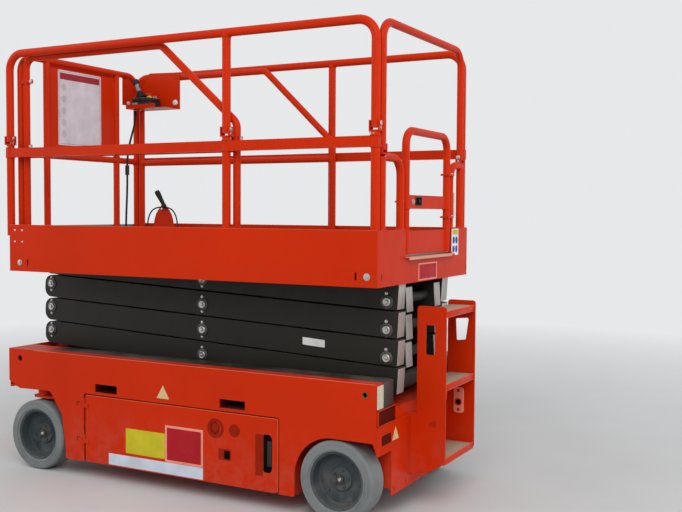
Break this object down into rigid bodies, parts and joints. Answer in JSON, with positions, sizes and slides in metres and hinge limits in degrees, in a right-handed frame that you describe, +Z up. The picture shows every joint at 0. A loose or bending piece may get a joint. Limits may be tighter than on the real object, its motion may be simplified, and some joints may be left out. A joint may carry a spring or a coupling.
{
  "type": "scissor lift",
  "caption": "Self-propelled scissor lift with stowed arm stack, railed platform with sliding extension, folding rails, gate, ladder and steered front wheels.",
  "frame": {"origin": "on the floor, in the middle of the machine's length and width, stowed", "axes": "+X forward, towards the steered wheels; +Y the machine's left side; +Z up"},
  "size_m": [2.4963, 1.132, 2.31],
  "materials": {
    "red_paint": "semi-gloss",
    "dark_paint": "satin",
    "tyre": "matt",
    "rim": "satin",
    "deck_plate": "worn",
    "cylinder_paint": "satin",
    "bright_steel": "polished",
    "battery_case": "matt",
    "black_plastic": "matt"
  },
  "bodies": {
    "chassis": {"chassis_frame": "red_paint", "front_box": "red_paint", "rear_house": "red_paint", "side_tray_left": "red_paint", "side_tray_right": "red_paint", "fork_pocket_rear": "red_paint", "fork_pocket_front": "red_paint", "side_plate_left": "red_paint", "side_plate_right": "red_paint", "rear_plate": "red_paint", "ladder": "red_paint", "battery_pack": "battery_case", "pump_unit": "cylinder_paint", "king_housings": "dark_paint", "steer_cylinder": "cylinder_paint", "rear_stubs": "dark_paint", "chassis_tracks": "dark_paint"},
    "door_left": {"tray_door_left": "red_paint"},
    "door_right": {"tray_door_right": "red_paint"},
    "knuckle_left": {"knuckle_left": "dark_paint"},
    "knuckle_right": {"knuckle_right": "dark_paint"},
    "steer_rod": {"steer_rod": "bright_steel"},
    "lift_barrel": {"lift_barrel": "cylinder_paint"},
    "lift_rod": {"lift_rod": "bright_steel"},
    "platform": {"platform_deck": "red_paint", "platform_tracks": "dark_paint", "main_rail_left": "red_paint", "side_hoop_left": "red_paint", "main_rail_right": "red_paint", "rear_loops": "red_paint"},
    "rear_hoop": {"rear_hoop": "red_paint"},
    "entry_gate": {"entry_gate": "red_paint"},
    "extension": {"extension_deck": "deck_plate", "extension_rail_left": "red_paint", "extension_rail_right": "red_paint", "front_rail": "red_paint", "control_shelf": "red_paint", "control_box": "black_plastic", "control_lever": "black_plastic", "control_cable": "black_plastic", "cable_gland": "black_plastic", "cable_connector": "black_plastic", "cable_socket": "black_plastic"},
    "extension_hoop": {"extension_hoop_left": "red_paint"},
    "wheel_front_left": {"tyre_front_left": "tyre", "rim_front_left": "rim"},
    "wheel_front_right": {"tyre_front_right": "tyre", "rim_front_right": "rim"},
    "wheel_rear_left": {"tyre_rear_left": "tyre", "rim_rear_left": "rim"},
    "wheel_rear_right": {"tyre_rear_right": "tyre", "rim_rear_right": "rim"},
    "inner_1": {"inner_arms_1": "dark_paint"},
    "outer_1": {"outer_arms_1": "dark_paint"},
    "inner_2": {"inner_arms_2": "dark_paint"},
    "outer_2": {"outer_arms_2": "dark_paint"},
    "inner_3": {"inner_arms_3": "dark_paint"},
    "outer_3": {"outer_arms_3": "dark_paint"},
    "inner_4": {"inner_arms_4": "dark_paint"},
    "outer_4": {"outer_arms_4": "dark_paint"}
  },
  "joints": [
    {"name": "lift", "type": "hinge", "parent": "chassis", "child": "inner_1", "pos_m": [1.1515, 0, 0.607], "axis": [0, 1, 0], "range_deg": [0, 55.4]},
    {"name": "cross_1", "type": "hinge", "parent": "inner_1", "child": "outer_1", "pos_m": [0.0835, 0, 0.67365], "axis": [0, 1, 0], "range_deg": [-110.81, 0]},
    {"name": "front_pin_2", "type": "hinge", "parent": "outer_1", "child": "inner_2", "pos_m": [1.1515, 0, 0.7403], "axis": [0, 1, 0], "range_deg": [0, 110.81]},
    {"name": "cross_2", "type": "hinge", "parent": "inner_2", "child": "outer_2", "pos_m": [0.0835, 0, 0.80695], "axis": [0, 1, 0], "range_deg": [-110.81, 0]},
    {"name": "front_pin_3", "type": "hinge", "parent": "outer_2", "child": "inner_3", "pos_m": [1.1515, 0, 0.8736], "axis": [0, 1, 0], "range_deg": [0, 110.81]},
    {"name": "cross_3", "type": "hinge", "parent": "inner_3", "child": "outer_3", "pos_m": [0.0835, 0, 0.94025], "axis": [0, 1, 0], "range_deg": [-110.81, 0]},
    {"name": "front_pin_4", "type": "hinge", "parent": "outer_3", "child": "inner_4", "pos_m": [1.1515, 0, 1.0069], "axis": [0, 1, 0], "range_deg": [0, 110.81]},
    {"name": "cross_4", "type": "hinge", "parent": "inner_4", "child": "outer_4", "pos_m": [0.0835, 0, 1.07355], "axis": [0, 1, 0], "range_deg": [-110.81, 0]},
    {"name": "platform_pin", "type": "hinge", "parent": "outer_4", "child": "platform", "pos_m": [1.1515, 0, 1.1402], "axis": [0, 1, 0], "range_deg": [0, 55.41]},
    {"name": "cylinder_foot", "type": "hinge", "parent": "inner_1", "child": "lift_barrel", "pos_m": [-0.34559, 0, 0.70043], "axis": [0, 1, 0], "range_deg": [-121.07, 0]},
    {"name": "cylinder_rod", "type": "slide", "parent": "lift_barrel", "child": "lift_rod", "axis": [0.9994, 0, 0.0348], "range_m": [0, 0.2224]},
    {"name": "steer", "type": "hinge", "parent": "chassis", "child": "knuckle_left", "pos_m": [1.0245, 0.4965, 0.4], "axis": [0, 0, 1], "range_deg": [-40, 40]},
    {"name": "steer_right", "type": "hinge", "parent": "chassis", "child": "knuckle_right", "pos_m": [1.0245, -0.4965, 0.4], "axis": [0, 0, 1], "range_deg": [-40.01, 40.01]},
    {"name": "steer_slide", "type": "slide", "parent": "chassis", "child": "steer_rod", "axis": [0, 1, 0], "range_m": [-0.0708, 0.0708]},
    {"name": "roll_front_left", "type": "hinge", "parent": "knuckle_left", "child": "wheel_front_left", "pos_m": [1.0245, 0.4965, 0.1905], "axis": [0, 1, 0], "continuous": true},
    {"name": "roll_front_right", "type": "hinge", "parent": "knuckle_right", "child": "wheel_front_right", "pos_m": [1.0245, -0.4965, 0.1905], "axis": [0, 1, 0], "continuous": true},
    {"name": "roll_rear_left", "type": "hinge", "parent": "chassis", "child": "wheel_rear_left", "pos_m": [-0.847, 0.4965, 0.1905], "axis": [0, 1, 0], "continuous": true},
    {"name": "roll_rear_right", "type": "hinge", "parent": "chassis", "child": "wheel_rear_right", "pos_m": [-0.847, -0.4965, 0.1905], "axis": [0, 1, 0], "continuous": true},
    {"name": "door_left", "type": "hinge", "parent": "chassis", "child": "door_left", "pos_m": [0.6735, 0.561, 0.27], "axis": [0, 0, -1], "range_deg": [0, 100]},
    {"name": "door_right", "type": "hinge", "parent": "chassis", "child": "door_right", "pos_m": [0.6735, -0.561, 0.27], "axis": [0, 0, 1], "range_deg": [0, 100]},
    {"name": "extend", "type": "slide", "parent": "platform", "child": "extension", "axis": [1, 0, 0], "range_m": [0, 0.9]},
    {"name": "extension_fold", "type": "hinge", "parent": "extension", "child": "extension_hoop", "pos_m": [0.4455, 0.488, 1.78], "axis": [1, 0, 0], "range_deg": [0, 90]},
    {"name": "rear_fold", "type": "hinge", "parent": "platform", "child": "rear_hoop", "pos_m": [-1.0365, 0, 1.725], "axis": [0, 1, 0], "range_deg": [0, 90]},
    {"name": "gate", "type": "hinge", "parent": "platform", "child": "entry_gate", "pos_m": [-1.0365, -0.298, 1.5], "axis": [0, 0, -1], "range_deg": [0, 90]}
  ],
  "couplings": [
    {"joint": "cross_1", "follows": "lift", "ratio": -2},
    {"joint": "front_pin_2", "follows": "lift", "ratio": 2},
    {"joint": "cross_2", "follows": "lift", "ratio": -2},
    {"joint": "front_pin_3", "follows": "lift", "ratio": 2},
    {"joint": "cross_3", "follows": "lift", "ratio": -2},
    {"joint": "front_pin_4", "follows": "lift", "ratio": 2},
    {"joint": "cross_4", "follows": "lift", "ratio": -2},
    {"joint": "platform_pin", "follows": "lift", "ratio": 1},
    {"joint": "cylinder_foot", "follows": "lift", "ratio": -2.1853},
    {"joint": "cylinder_rod", "follows": "lift", "m_per_rad": 0.22952},
    {"joint": "steer_right", "follows": "steer", "ratio": 1},
    {"joint": "steer_slide", "follows": "steer", "m_per_rad": -0.10128}
  ]
}
